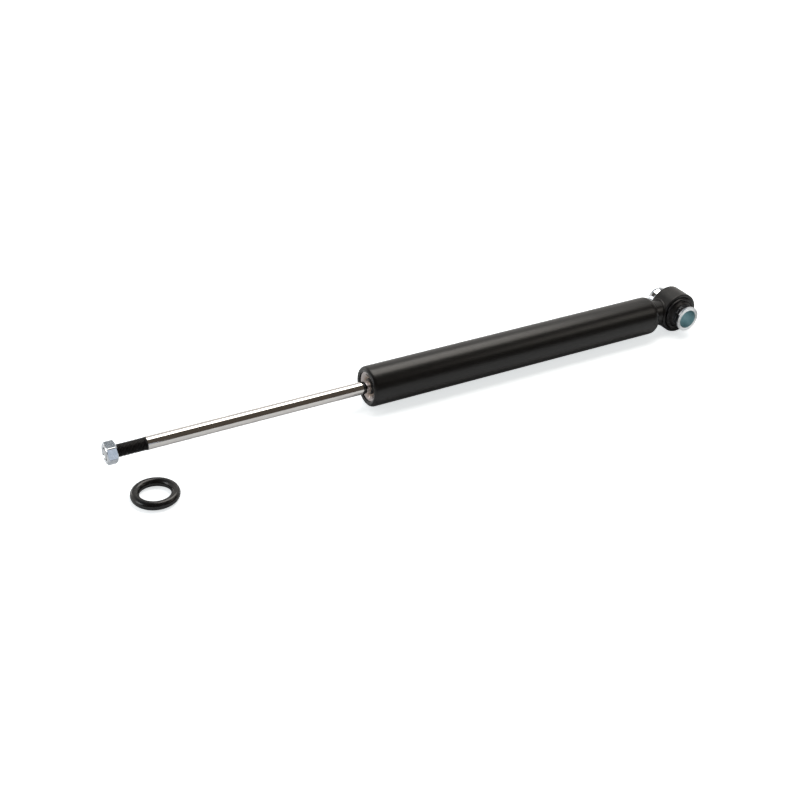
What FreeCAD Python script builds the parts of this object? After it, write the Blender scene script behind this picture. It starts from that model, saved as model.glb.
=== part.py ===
import FreeCAD, Part
import os
import re

import Sketcher

# Twin-tube gas shock absorber, lying on its side with the rod drawn out.
# The origin is the centre of the eye. +X runs along the shock absorber's axis, from the eye to the stud,
# the eye's bore runs along Y, and Z is up. The rod stands at full extension.

doc = FreeCAD.newDocument("ShockAbsorber")
sheet = doc.addObject("Spreadsheet::Sheet", "Sizes")

# Driving dimensions in millimetres: name, value, what it is.
DIMENSIONS = [
    # Reserve tube
    ("front_reach", 373.0, "eye centre to the front rim of the tube"),
    ("tube_start", 38.5, "eye centre to the rear end of the tube"),
    ("tube_dia", 40.0, "outer diameter of the reserve tube"),
    ("tube_wall", 1.5, "wall of the reserve tube and of its rolled rim"),
    ("rim_round", 4.5, "outer radius of the rolled rim"),
    ("rim_width", 5.0, "width of the rolled rim's front face, its rounding included"),
    # Base cap and neck
    ("cap_depth", 7.0, "length of the cap's rounded shoulder"),
    ("shoulder_round", 6.4, "radius of the shoulder"),
    ("cap_wall", 4.5, "thickness of the cap's floor"),
    ("skirt_length", 3.2, "length of the skirt inside the tube"),
    ("skirt_wall", 2.0, "wall of the skirt"),
    ("neck_step", 6.75, "step from the tube's outside down to the neck"),
    # Eye
    ("rubber_wall", 6.5, "space between the sleeve's body and the eye ring, filled by the rubber"),
    ("eye_wall", 3.25, "wall of the eye ring"),
    ("eye_width", 23.0, "width of the eye ring"),
    ("eye_edge", 1.0, "rounded outer edges of the eye ring"),
    ("bush_inset", 0.4, "depth of the rubber's outer edge below the ring's face"),
    ("bush_lip_inset", 1.1, "distance from the ring's bore to the rubber's raised lip"),
    ("bush_lip_rise", 2.1, "height of the lip above the ring's face"),
    ("bush_dish_rise", 0.7, "height of the valley above the ring's face"),
    ("bush_hub_rise", 5.0, "height of the hub above the ring's face"),
    ("bush_hub_land", 0.8, "width of the hub's flat end"),
    ("sleeve_bore", 20.0, "bore of the sleeve"),
    ("sleeve_dia", 24.0, "outer diameter of the sleeve's body"),
    ("sleeve_end_dia", 27.0, "diameter of the upset ends"),
    ("sleeve_length", 53.0, "length over the sleeve's end faces"),
    ("sleeve_band", 3.0, "length of the cylindrical band at each end"),
    ("sleeve_flare", 3.5, "length of the cone behind the band"),
    ("sleeve_chamfer", 0.5, "chamfer of the end faces"),
    # Rod
    ("rod_dia", 12.4, "diameter of the chromed rod"),
    ("rod_reach", 592.5, "eye centre to the start of the stud, rod extended"),
    ("stud_dia", 12.0, "major diameter of the stud's thread"),
    ("stud_length", 36.5, "length of the stud"),
    ("stud_chamfer", 1.2, "lead-in chamfer of the stud"),
    ("nut_flats", 19.0, "width across flats of the stud nut"),
    ("nut_height", 10.0, "height of the stud nut"),
    ("nut_clearance", 0.05, "radial clearance of the nut on the stud's crests"),
    ("nut_overhang", 0.2, "height of the nut's outer face above the stud's end"),
    ("nut_turn", -8.0, "turn of the nut's corners about the axis, degrees"),
    # Pressure tube
    ("cylinder_bore", 27.0, "bore of the pressure tube"),
    ("cylinder_wall", 1.25, "wall of the pressure tube"),
    # Front closing
    ("rim_seat", 0.3, "gap between the plate and the rolled rim"),
    ("plate_thick", 1.5, "thickness of the closing plate"),
    ("plate_border", 2.0, "width of the plate's flat border inside the roll"),
    ("plate_hub_dia", 18.0, "outer diameter of the plate's sunk hub"),
    ("plate_bore", 16.0, "bore of the plate"),
    ("plate_sink", 2.6, "depth of the hub below the border"),
    ("wiper_rise", 1.6, "height of the wiper's lip above the plate's hub"),
    ("wiper_lip", 0.7, "thickness of the wiper's lip"),
    ("lip_clearance", 0.03, "radial clearance of every lip on the rod"),
    ("seal_rim", 6.0, "height of the seal's outer rim"),
    ("seal_rim_width", 4.6, "width of the seal's outer rim"),
    ("seal_drop", 0.9, "gap between the plate's hub and the seal's web"),
    ("seal_web", 1.8, "thickness of the seal's web"),
    ("seal_lip_length", 6.0, "length of the seal's lip behind the web"),
    ("seal_lip_dia", 18.4, "outer diameter of the seal's lip"),
    ("seal_lip_relief", 0.7, "depth of the hollow between the lip's two edges"),
    ("garter_wire", 1.4, "wire of the garter spring"),
    # Rod guide
    ("guide_flange", 19.0, "length of the guide in the reserve tube"),
    ("guide_spigot", 12.0, "length of the guide's spigot in the pressure tube"),
    ("guide_pocket_depth", 8.0, "depth of the pocket for the seal's lip"),
    ("guide_pocket_dia", 23.0, "diameter of the pocket for the seal's lip"),
    ("guide_land", 12.0, "length of the guide's full-diameter land"),
    ("guide_cone", 5.0, "length of the cone behind the land"),
    ("guide_gap", 0.1, "radial gap between the guide and the reserve tube"),
    ("ring_section", 1.7, "section of the static ring"),
    ("ring_groove", 2.6, "width of the static ring's groove"),
    ("ring_inset", 4.0, "distance from the guide's front face to the groove"),
    ("guide_bush_dia", 15.5, "outer diameter of the guide bush"),
    ("guide_bush_length", 16.0, "length of the guide bush"),
    ("guide_bush_inset", 3.0, "distance from the guide's rear face to the bush"),
    # Rebound stop
    ("stop_gap", 0.3, "gap between the bumper and the guide at full extension"),
    ("bumper_length", 12.0, "length of the rebound bumper"),
    ("bumper_dia", 23.0, "outer diameter of the rebound bumper"),
    ("bumper_round", 2.0, "rounded edges of the bumper"),
    ("retainer_thick", 3.6, "thickness of the bumper's retainer"),
    ("retainer_dia", 20.0, "outer diameter of the retainer"),
    ("groove_depth", 0.6, "depth of the rod's groove for the retainer"),
    ("rod_lead", 15.0, "rod between the retainer and the piston's washer"),
    # Piston and its valve
    ("spigot_dia", 10.0, "diameter of the rod's spigot in the piston"),
    ("washer_thick", 1.6, "thickness of the stop washer"),
    ("washer_dia", 20.0, "outer diameter of the stop washer"),
    ("check_spring_height", 2.4, "height of the check spring"),
    ("check_spring_wire", 0.6, "wire of the check spring"),
    ("check_spring_dia", 18.4, "middle diameter of the check spring"),
    ("check_thick", 0.6, "thickness of the piston's check plate"),
    ("check_dia", 24.0, "outer diameter of the check plate"),
    ("check_bore", 16.6, "bore of the check plate"),
    ("piston_length", 12.0, "length of the piston"),
    ("piston_clearance", 0.3, "radial clearance of the piston in the cylinder"),
    ("band_width", 9.0, "width of the piston band"),
    ("band_thick", 1.4, "thickness of the piston band"),
    ("band_clearance", 0.03, "radial clearance of the band in the cylinder"),
    ("outer_port_pcd", 20.4, "pitch circle of the piston's outer ports"),
    ("outer_port_dia", 2.4, "diameter of the piston's outer ports"),
    ("inner_port_pcd", 13.8, "pitch circle of the piston's inner ports"),
    ("inner_port_dia", 2.0, "diameter of the piston's inner ports"),
    ("disc_thick", 0.4, "thickness of one valve disc"),
    ("rebound_disc_dia", 17.2, "diameter of the first rebound disc"),
    ("disc_step", 1.8, "difference in diameter from one disc to the next"),
    ("disc_washer_thick", 1.2, "thickness of the washer behind the discs"),
    ("disc_washer_dia", 13.0, "diameter of the washer behind the discs"),
    ("piston_nut_flats", 17.0, "width across flats of the piston nut"),
    ("piston_nut_height", 8.0, "height of the piston nut"),
    ("spigot_tail", 1.5, "spigot standing out of the piston nut"),
    # Foot valve
    ("foot_height", 6.0, "height of the valve body's foot"),
    ("foot_dia", 25.4, "outer diameter of the foot"),
    ("foot_wall", 1.1, "wall of the foot"),
    ("foot_slot", 6.0, "width of the slots across the foot"),
    ("foot_slot_depth", 3.5, "depth of the slots across the foot"),
    ("foot_flange", 8.0, "thickness of the valve body's flange"),
    ("foot_spigot", 5.0, "length of the valve body's spigot in the pressure tube"),
    ("intake_port_pcd", 20.0, "pitch circle of the intake ports"),
    ("intake_port_dia", 2.6, "diameter of the intake ports"),
    ("bleed_port_pcd", 11.2, "pitch circle of the compression ports"),
    ("bleed_port_dia", 2.0, "diameter of the compression ports"),
    ("intake_thick", 0.6, "thickness of the intake plate"),
    ("intake_dia", 24.4, "outer diameter of the intake plate"),
    ("intake_bore", 15.2, "bore of the intake plate"),
    ("intake_spring_height", 2.8, "height of the intake spring"),
    ("intake_spring_wire", 0.6, "wire of the intake spring"),
    ("intake_spring_dia", 17.0, "middle diameter of the intake spring"),
    ("compression_disc_dia", 15.2, "diameter of the first compression disc"),
    ("pin_dia", 5.0, "diameter of the valve pin"),
    ("pin_head_dia", 18.8, "diameter of the pin's front head"),
    ("pin_head_thick", 1.6, "thickness of the pin's front head"),
    ("pin_tail_dia", 9.0, "diameter of the pin's riveted end"),
    ("pin_tail_thick", 2.0, "thickness of the pin's riveted end"),
    # Fits shared by several pieces
    ("press_gap", 0.02, "radial gap between pieces that are pressed or bonded together"),
    ("slide_gap", 0.05, "gap between pieces that rest or slide on each other"),
    # Loose rubber ring
    ("loose_ring_dia", 43.0, "outer diameter of the loose rubber ring"),
    ("loose_ring_section", 8.0, "section of the loose rubber ring"),
    ("loose_ring_x", 602.5, "place of the loose ring along the axis"),
    ("loose_ring_y", 50.5, "place of the loose ring beside the axis"),
]

PORTS = 6
FOOT_SLOTS = 2
DISCS = 3
SPRING_TURNS = 1.5
TOUCH = 1e-4

for row, (alias, value, meaning) in enumerate(DIMENSIONS, start=1):
    sheet.set(f"A{row}", alias)
    sheet.set(f"B{row}", str(value))
    sheet.set(f"C{row}", meaning)
    sheet.setAlias(f"B{row}", alias)
doc.recompute()

# Stations along the axis from the front rim back to the rod's inner end.
RIM_INSIDE = "front_reach - tube_wall"
PLATE_FRONT = f"{RIM_INSIDE} - rim_seat"
PLATE_REAR = f"{PLATE_FRONT} - plate_thick"
HUB_FRONT = f"{PLATE_FRONT} - plate_sink"
HUB_REAR = f"{PLATE_REAR} - plate_sink"
WEB_FRONT = f"{HUB_REAR} - seal_drop"
WEB_REAR = f"{WEB_FRONT} - seal_web"
SEAL_REAR = f"{PLATE_REAR} - seal_rim"
LIP_REAR = f"{WEB_REAR} - seal_lip_length"
GUIDE_SHOULDER = f"{SEAL_REAR} - guide_flange"
GUIDE_REAR = f"{GUIDE_SHOULDER} - guide_spigot"
BUMPER_FRONT = f"{GUIDE_REAR} - stop_gap"
BUMPER_REAR = f"{BUMPER_FRONT} - bumper_length"
RETAINER_REAR = f"{BUMPER_REAR} - retainer_thick"
ROD_SHOULDER = f"{RETAINER_REAR} - rod_lead"
WASHER_REAR = f"{ROD_SHOULDER} - washer_thick"
CHECK_FRONT = f"{WASHER_REAR} - check_spring_height"
PISTON_FRONT = f"{CHECK_FRONT} - check_thick"
PISTON_REAR = f"{PISTON_FRONT} - piston_length"
DISCS_REAR = f"{PISTON_REAR} - {DISCS} * disc_thick"
DISC_WASHER_REAR = f"{DISCS_REAR} - disc_washer_thick"
PISTON_NUT_REAR = f"{DISC_WASHER_REAR} - piston_nut_height"
SPIGOT_END = f"{PISTON_NUT_REAR} - spigot_tail"
BAND_REAR = f"{PISTON_REAR} + (piston_length - band_width) / 2"
BAND_FRONT = f"{PISTON_FRONT} - (piston_length - band_width) / 2"

# Stations of the rod's outer end.
STUD_END = "rod_reach + stud_length"
NUT_FRONT = f"{STUD_END} + nut_overhang"
NUT_REAR = f"{NUT_FRONT} - nut_height"

# Stations of the rear end, from the eye forwards.
CAP_REAR = "tube_start - cap_depth"
CAP_FLOOR = f"{CAP_REAR} + cap_wall"
SKIRT_END = "tube_start + skirt_length"
FOOT_FRONT = f"{CAP_FLOOR} + foot_height"
CYLINDER_REAR = f"{FOOT_FRONT} + foot_flange"
VALVE_FACE = f"{CYLINDER_REAR} + foot_spigot"
INTAKE_FRONT = f"{VALVE_FACE} + intake_thick"
HEAD_REAR = f"{INTAKE_FRONT} + intake_spring_height"
HEAD_FRONT = f"{HEAD_REAR} + pin_head_thick"
TAIL_FRONT = f"{FOOT_FRONT} - {DISCS} * disc_thick"
TAIL_REAR = f"{TAIL_FRONT} - pin_tail_thick"

# Radii that several pieces share. The roll is the inner rounding of the rolled rim, less the plate's gap.
TUBE_BORE = "(tube_dia / 2 - tube_wall)"
PRESSED_IN_TUBE = f"({TUBE_BORE} - press_gap)"
ROLL = "(rim_round - tube_wall - rim_seat)"
ROLL_MIDDLE = f"({TUBE_BORE} - rim_round + tube_wall)"
PLATE_EDGE = f"({ROLL_MIDDLE} + {ROLL} * sqrt(0.5))"
CYLINDER = "(cylinder_bore / 2)"
CYLINDER_OUTSIDE = f"({CYLINDER} + cylinder_wall)"
SPIGOT_HOLE = "(spigot_dia / 2 + slide_gap)"
PIN_HOLE = "(pin_dia / 2 + slide_gap)"
ROD = "(rod_dia / 2)"
ROD_LIP = f"({ROD} + lip_clearance)"
EYE_BORE = "(sleeve_dia / 2 + rubber_wall)"
EYE_OUTSIDE = f"({EYE_BORE} + eye_wall)"

# The turned solids' axes, as the sketches name them.
ALONG_X = "H_Axis"
ALONG_Y = "V_Axis"

bodies = []


def bound(expression):
    """Point each size named in an expression at its cell of the sheet."""
    return re.sub(r"[a-z]\w*\b(?!\()", r"Sizes.\g<0>", expression)


def origin_feature(body, role):
    """The plane or axis of a body's own origin with the given role."""
    return next(item for item in body.Origin.OriginFeatures if item.Role == role)


def new_body(label):
    """A sub-part, whose label names its file."""
    body = doc.addObject("PartDesign::Body", label)
    body.Label = label
    bodies.append(body)
    return body


def new_sketch(body, name, role="XY_Plane"):
    """An empty sketch on one of the body's own planes."""
    sketch = body.newObject("Sketcher::SketchObject", name)
    sketch.AttachmentSupport = (origin_feature(body, role), [""])
    sketch.MapMode = "FlatFace"
    return sketch


def pin_down(sketch, geometry, point, across, up):
    """Tie a point of the sketch to two expressions of the sheet's cells."""
    for kind, expression in (("DistanceX", across), ("DistanceY", up)):
        number = sketch.addConstraint(Sketcher.Constraint(kind, geometry, point, 1.0))
        sketch.setExpression(f"Constraints[{number}]", bound(expression))


def outline(body, name, corners, role="XY_Plane"):
    """A closed outline of straight lines through corners given as pairs of expressions."""
    sketch = new_sketch(body, name, role)
    count = len(corners)
    start = [FreeCAD.Vector(index, index * index, 0) for index in range(count)]
    for index in range(count):
        sketch.addGeometry(Part.LineSegment(start[index], start[(index + 1) % count]), False)
    for index in range(count):
        sketch.addConstraint(Sketcher.Constraint("Coincident", index, 2, (index + 1) % count, 1))
    for index, (across, up) in enumerate(corners):
        pin_down(sketch, index, 1, across, up)
    return sketch


def turned(label, corners, axis=ALONG_X):
    """A body of revolution from an outline of corners: along the axis and out, or out and along Y."""
    body = new_body(label)
    sketch = outline(body, f"{label}_outline", list(corners.values()))
    feature = body.newObject("PartDesign::Revolution", f"{label}_turned")
    feature.Profile = sketch
    feature.ReferenceAxis = (sketch, [axis])
    feature.Angle = 360
    doc.recompute()
    places = {name: sketch.Geometry[index].StartPoint for index, name in enumerate(corners)}
    return body, places


def edge_through(shape, point):
    """Name of the circular edge that passes through a point."""
    vertex = Part.Vertex(point)
    for number, edge in enumerate(shape.Edges, start=1):
        if isinstance(edge.Curve, Part.Circle) and edge.distToShape(vertex)[0] < TOUCH:
            return f"Edge{number}"
    raise ValueError(f"no edge through {point}")


def rounded(body, points, radius, name):
    """Round the turned edges that pass through the points."""
    base = body.Tip
    feature = body.newObject("PartDesign::Fillet", name)
    feature.Base = (base, [edge_through(base.Shape, point) for point in points])
    feature.setExpression("Radius", bound(radius))
    doc.recompute()


def bevelled(body, points, size, name):
    """Chamfer the turned edges that pass through the points."""
    base = body.Tip
    feature = body.newObject("PartDesign::Chamfer", name)
    feature.Base = (base, [edge_through(base.Shape, point) for point in points])
    feature.setExpression("Size", bound(size))
    doc.recompute()


def cut_through(body, sketch, name):
    """Cut a sketch right through the body, both ways, and check that something was cut."""
    before = body.Shape.Volume
    pocket = body.newObject("PartDesign::Pocket", name)
    pocket.Profile = sketch
    pocket.Type = "ThroughAll"
    pocket.SideType = "Symmetric"
    doc.recompute()
    if body.Shape.Volume >= before:
        raise ValueError(f"{name} cuts nothing")
    return pocket


def repeated(body, feature, count, name):
    """Repeat a cut round the X axis."""
    pattern = body.newObject("PartDesign::PolarPattern", name)
    pattern.Originals = [feature]
    pattern.Axis = (origin_feature(body, "X_Axis"), [""])
    pattern.Angle = 360
    pattern.Occurrences = count
    body.Tip = pattern
    doc.recompute()


def ported(body, name, pitch_circle, diameter):
    """Drill a ring of ports along the X axis."""
    sketch = new_sketch(body, f"{name}_circle", "YZ_Plane")
    sketch.addGeometry(Part.Circle(FreeCAD.Vector(1, 1, 0), FreeCAD.Vector(0, 0, 1), 1), False)
    pin_down(sketch, 0, 3, f"{pitch_circle} / 2", "0")
    number = sketch.addConstraint(Sketcher.Constraint("Diameter", 0, 1.0))
    sketch.setExpression(f"Constraints[{number}]", bound(diameter))
    doc.recompute()
    repeated(body, cut_through(body, sketch, f"{name}_drilled"), PORTS, name)


def ring(label, station, middle, section):
    """A ring of round section about the X axis."""
    item = doc.addObject("Part::Torus", label)
    item.Label = label
    item.setExpression("Radius1", bound(middle))
    item.setExpression("Radius2", bound(f"({section}) / 2"))
    item.Placement = FreeCAD.Placement(FreeCAD.Vector(), FreeCAD.Rotation(FreeCAD.Vector(0, 1, 0), 90))
    item.setExpression("Placement.Base.x", bound(station))
    bodies.append(item)
    return item


def disc_stack(label, rear, first_dia, hole, steps):
    """Valve discs on each other, each a separate solid, listed from the rear with its size step."""
    discs = []
    for index, step in enumerate(steps):
        disc = doc.addObject("Part::Cylinder", f"{label}_{index + 1}")
        disc.setExpression("Radius", bound(f"({first_dia} - {step} * disc_step) / 2"))
        bore = doc.addObject("Part::Cylinder", f"{label}_{index + 1}_bore")
        bore.setExpression("Radius", bound(hole))
        cut = doc.addObject("Part::Cut", f"{label}_{index + 1}_disc")
        cut.Base = disc
        cut.Tool = bore
        along = FreeCAD.Placement(FreeCAD.Vector(), FreeCAD.Rotation(FreeCAD.Vector(0, 1, 0), 90))
        for item in (disc, bore):
            item.setExpression("Height", bound("disc_thick"))
            item.Placement = along
            item.setExpression("Placement.Base.x", bound(f"{rear} + {index} * disc_thick"))
        discs.append(cut)
    stack = doc.addObject("Part::Compound", label)
    stack.Label = label
    stack.Links = discs
    bodies.append(stack)
    doc.recompute()


def hexagon_nut(label, rear, height, flats, hole):
    """A hexagon nut with both faces turned down at the corners."""
    body = new_body(label)
    corner = f"({flats} / sqrt(3))"
    half = f"({flats} / 2)"
    hexagon = outline(body, f"{label}_hexagon", [
        (corner, "0"),
        (f"{corner} / 2", half),
        (f"-{corner} / 2", half),
        (f"-{corner}", "0"),
        (f"-{corner} / 2", f"-{half}"),
        (f"{corner} / 2", f"-{half}"),
    ], "YZ_Plane")
    hexagon.setExpression("AttachmentOffset.Base.z", bound(rear))
    pad = body.newObject("PartDesign::Pad", f"{label}_prism")
    pad.Profile = hexagon
    pad.setExpression("Length", bound(height))
    doc.recompute()
    front = f"{rear} + {height}"
    slope = f"(({corner} - {half}) / sqrt(3))"
    beyond = f"(2 * {corner} - {half})"
    cuts = {
        "bore": [(rear, "0"), (front, "0"), (front, hole), (rear, hole)],
        "rear_corners": [(rear, half), (f"{rear} + 2 * {slope}", beyond), (rear, beyond)],
        "front_corners": [(front, half), (front, beyond), (f"{front} - 2 * {slope}", beyond)],
    }
    for name, corners in cuts.items():
        before = body.Shape.Volume
        groove = body.newObject("PartDesign::Groove", f"{label}_{name}")
        groove.Profile = outline(body, f"{label}_{name}_outline", corners)
        groove.ReferenceAxis = (groove.Profile[0], [ALONG_X])
        groove.Angle = 360
        doc.recompute()
        if body.Shape.Volume >= before:
            raise ValueError(f"{label}_{name} cuts nothing")
    return body


def coil(label, rear, height, middle_dia, wire):
    """A wire spring of the given overall height less the gap at each end, wound forwards from the rear."""
    body = new_body(label)
    sketch = new_sketch(body, f"{label}_wire")
    sketch.addGeometry(Part.Circle(FreeCAD.Vector(1, 1, 0), FreeCAD.Vector(0, 0, 1), 1), False)
    pin_down(sketch, 0, 3, f"{rear} + slide_gap + {wire} / 2", f"{middle_dia} / 2")
    number = sketch.addConstraint(Sketcher.Constraint("Diameter", 0, 1.0))
    sketch.setExpression(f"Constraints[{number}]", bound(wire))
    doc.recompute()
    helix = body.newObject("PartDesign::AdditiveHelix", f"{label}_wound")
    helix.Profile = sketch
    helix.ReferenceAxis = (sketch, [ALONG_X])
    helix.Mode = "height-turns-angle"
    helix.Turns = SPRING_TURNS
    helix.setExpression("Height", bound(f"{height} - {wire} - 2 * slide_gap"))
    doc.recompute()


# Reserve tube: drawn steel tube whose front rim is rolled over the closing plate.
tube, at = turned("reserve_tube", {
    "rear_inside": ("tube_start", TUBE_BORE),
    "rear_outside": ("tube_start", "tube_dia / 2"),
    "front_outside": ("front_reach", "tube_dia / 2"),
    "rim_front": ("front_reach", "tube_dia / 2 - rim_width"),
    "rim_rear": (RIM_INSIDE, "tube_dia / 2 - rim_width"),
    "front_inside": (RIM_INSIDE, TUBE_BORE),
})
rounded(tube, [at["front_outside"]], "rim_round", "rolled_rim")
rounded(tube, [at["front_inside"]], "rim_round - tube_wall", "rolled_rim_inside")

# Base cap: pressed steel end with a skirt inside the tube and a neck cut to the eye ring.
cap, at = turned("base_cap", {
    "neck_end": ("0", "0"),
    "neck_side": ("0", "tube_dia / 2 - neck_step"),
    "neck_root": (CAP_REAR, "tube_dia / 2 - neck_step"),
    "shoulder_rear": (CAP_REAR, "tube_dia / 2"),
    "shoulder_front": ("tube_start", "tube_dia / 2"),
    "skirt_root": ("tube_start", PRESSED_IN_TUBE),
    "skirt_outside": (SKIRT_END, PRESSED_IN_TUBE),
    "skirt_inside": (SKIRT_END, f"{PRESSED_IN_TUBE} - skirt_wall"),
    "floor_outside": (CAP_FLOOR, f"{PRESSED_IN_TUBE} - skirt_wall"),
    "floor_centre": (CAP_FLOOR, "0"),
})
rounded(cap, [at["shoulder_rear"]], "shoulder_round", "shoulder")
saddle = new_sketch(cap, "saddle_circle", "XZ_Plane")
saddle.addGeometry(Part.Circle(FreeCAD.Vector(1, 1, 0), FreeCAD.Vector(0, 0, 1), 1), False)
pin_down(saddle, 0, 3, "0", "0")
saddle_size = saddle.addConstraint(Sketcher.Constraint("Diameter", 0, 1.0))
saddle.setExpression(f"Constraints[{saddle_size}]", bound(f"2 * ({EYE_OUTSIDE} + press_gap)"))
doc.recompute()
cut_through(cap, saddle, "saddle")

# Eye ring: a length of thick steel tube welded to the neck.
eye, at = turned("eye_ring", {
    "bore_near": (EYE_BORE, "-eye_width / 2"),
    "edge_near": (EYE_OUTSIDE, "-eye_width / 2"),
    "edge_far": (EYE_OUTSIDE, "eye_width / 2"),
    "bore_far": (EYE_BORE, "eye_width / 2"),
}, ALONG_Y)
rounded(eye, [at["edge_near"], at["edge_far"]], "eye_edge", "eye_edges")

# Rubber bush: moulded between the ring and the sleeve, with a raised lip and a hub on each face.
HUB_HOLE = "sleeve_dia / 2 + slide_gap"
HUB_EDGE = f"({HUB_HOLE} + bush_hub_land)"
LIP_CREST = f"({EYE_BORE} - bush_lip_inset)"
face_corners = [
    (HUB_HOLE, "eye_width / 2 + bush_hub_rise"),
    (HUB_EDGE, "eye_width / 2 + bush_hub_rise"),
    (f"({HUB_EDGE} + {LIP_CREST}) / 2", "eye_width / 2 + bush_dish_rise"),
    (LIP_CREST, "eye_width / 2 + bush_lip_rise"),
    (f"{EYE_BORE} - press_gap", "eye_width / 2 - bush_inset"),
]
bush_corners = {f"far_{index}": corner for index, corner in enumerate(face_corners)}
for index, (out, along) in reversed(list(enumerate(face_corners))):
    bush_corners[f"near_{index}"] = (out, f"-({along})")
bush, at = turned("rubber_bush", bush_corners, ALONG_Y)
rounded(bush, [at["far_3"], at["near_3"]], "bush_inset", "lip_crests")

# Inner sleeve: steel tube with both ends upset to a wider clamping face.
SLEEVE_HALF = "sleeve_length / 2"
CONE_WIDE = f"{SLEEVE_HALF} - sleeve_band"
CONE_NARROW = f"{CONE_WIDE} - sleeve_flare"
sleeve, at = turned("inner_sleeve", {
    "bore_near": ("sleeve_bore / 2", f"-{SLEEVE_HALF}"),
    "end_near": ("sleeve_end_dia / 2", f"-{SLEEVE_HALF}"),
    "band_near": ("sleeve_end_dia / 2", f"-({CONE_WIDE})"),
    "cone_near": ("sleeve_dia / 2", f"-({CONE_NARROW})"),
    "cone_far": ("sleeve_dia / 2", CONE_NARROW),
    "band_far": ("sleeve_end_dia / 2", CONE_WIDE),
    "end_far": ("sleeve_end_dia / 2", SLEEVE_HALF),
    "bore_far": ("sleeve_bore / 2", SLEEVE_HALF),
}, ALONG_Y)
bevelled(sleeve, [at["end_near"], at["end_far"]], "sleeve_chamfer", "sleeve_ends")

# Closing plate: dished steel washer held by the rolled rim, its edge bevelled to fit inside the roll.
turned("closing_plate", {
    "edge_rear": (PLATE_REAR, PLATE_EDGE),
    "edge_front": (f"{PLATE_FRONT} - {ROLL} * (1 - sqrt(0.5))", PLATE_EDGE),
    "border_front": (PLATE_FRONT, ROLL_MIDDLE),
    "cone_front": (PLATE_FRONT, f"{ROLL_MIDDLE} - plate_border"),
    "hub_front": (HUB_FRONT, "plate_hub_dia / 2"),
    "bore_front": (HUB_FRONT, "plate_bore / 2"),
    "bore_rear": (HUB_REAR, "plate_bore / 2"),
    "hub_rear": (HUB_REAR, "plate_hub_dia / 2"),
    "cone_rear": (PLATE_REAR, f"{ROLL_MIDDLE} - plate_border"),
})

# Wiper ring: rubber ring in the plate's bore, with a lip that scrapes dust off the rod.
turned("wiper_ring", {
    "foot_outside": (HUB_REAR, "plate_bore / 2 - press_gap"),
    "shoulder": (HUB_FRONT, "plate_bore / 2 - press_gap"),
    "lip_outside": (f"{HUB_FRONT} + wiper_rise", f"{ROD_LIP} + wiper_lip"),
    "lip_inside": (f"{HUB_FRONT} + wiper_rise", ROD_LIP),
    "foot_inside": (HUB_REAR, f"{ROD_LIP} + wiper_lip"),
})

# Rod seal: rubber ring with a thick rim, a web and a lip with two edges on the rod.
seal, at = turned("rod_seal", {
    "rim_rear": (SEAL_REAR, PRESSED_IN_TUBE),
    "rim_front": (f"{PLATE_REAR} - slide_gap", PRESSED_IN_TUBE),
    "rim_top": (f"{PLATE_REAR} - slide_gap", f"{PRESSED_IN_TUBE} - seal_rim_width"),
    "web_outside": (WEB_FRONT, f"{PRESSED_IN_TUBE} - seal_rim_width"),
    "web_inside": (WEB_FRONT, f"{ROD_LIP} + seal_lip_relief"),
    "first_edge": (WEB_REAR, ROD_LIP),
    "hollow": (f"{WEB_REAR} - seal_lip_length / 3", f"{ROD_LIP} + seal_lip_relief"),
    "second_edge": (f"{WEB_REAR} - 2 * seal_lip_length / 3", ROD_LIP),
    "lip_inside": (LIP_REAR, f"{ROD_LIP} + seal_lip_relief"),
    "lip_outside": (LIP_REAR, "seal_lip_dia / 2"),
    "lip_root": (WEB_REAR, "seal_lip_dia / 2"),
    "web_rear": (WEB_REAR, f"{PRESSED_IN_TUBE} - seal_rim_width"),
    "rim_inside": (SEAL_REAR, f"{PRESSED_IN_TUBE} - seal_rim_width"),
})
rounded(seal, [at["rim_front"]], f"{ROLL} - plate_thick", "rim_edge")

# Garter spring: keeps the seal's lip on the rod.
GARTER_MIDDLE = "seal_lip_dia / 2 + slide_gap + garter_wire / 2"
ring("garter_spring", f"{WEB_REAR} - 2 * seal_lip_length / 3", GARTER_MIDDLE, "garter_wire")

# Rod guide: sintered iron, seated on the pressure tube and centred in the reserve tube.
GUIDE_OUTSIDE = f"({TUBE_BORE} - guide_gap)"
GUIDE_HOLE = "guide_bush_dia / 2 + press_gap"
GROOVE_FLOOR = f"{TUBE_BORE} - ring_section - press_gap"
GROOVE_FRONT = f"{SEAL_REAR} - ring_inset"
turned("rod_guide", {
    "hole_rear": (GUIDE_REAR, GUIDE_HOLE),
    "spigot_rear": (GUIDE_REAR, f"{CYLINDER} - press_gap"),
    "spigot_front": (GUIDE_SHOULDER, f"{CYLINDER} - press_gap"),
    "shoulder": (GUIDE_SHOULDER, CYLINDER_OUTSIDE),
    "cone_rear": (f"{SEAL_REAR} - guide_land - guide_cone", CYLINDER_OUTSIDE),
    "cone_front": (f"{SEAL_REAR} - guide_land", GUIDE_OUTSIDE),
    "groove_rear": (f"{GROOVE_FRONT} - ring_groove", GUIDE_OUTSIDE),
    "groove_rear_floor": (f"{GROOVE_FRONT} - ring_groove", GROOVE_FLOOR),
    "groove_front_floor": (GROOVE_FRONT, GROOVE_FLOOR),
    "groove_front": (GROOVE_FRONT, GUIDE_OUTSIDE),
    "land_front": (SEAL_REAR, GUIDE_OUTSIDE),
    "pocket_edge": (SEAL_REAR, "guide_pocket_dia / 2"),
    "pocket_side": (f"{SEAL_REAR} - guide_pocket_depth", "guide_pocket_dia / 2"),
    "hole_front": (f"{SEAL_REAR} - guide_pocket_depth", GUIDE_HOLE),
})
STATIC_MIDDLE = f"{TUBE_BORE} - press_gap - ring_section / 2"
ring("guide_o_ring", f"{GROOVE_FRONT} - ring_groove / 2", STATIC_MIDDLE, "ring_section - press_gap")

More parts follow.
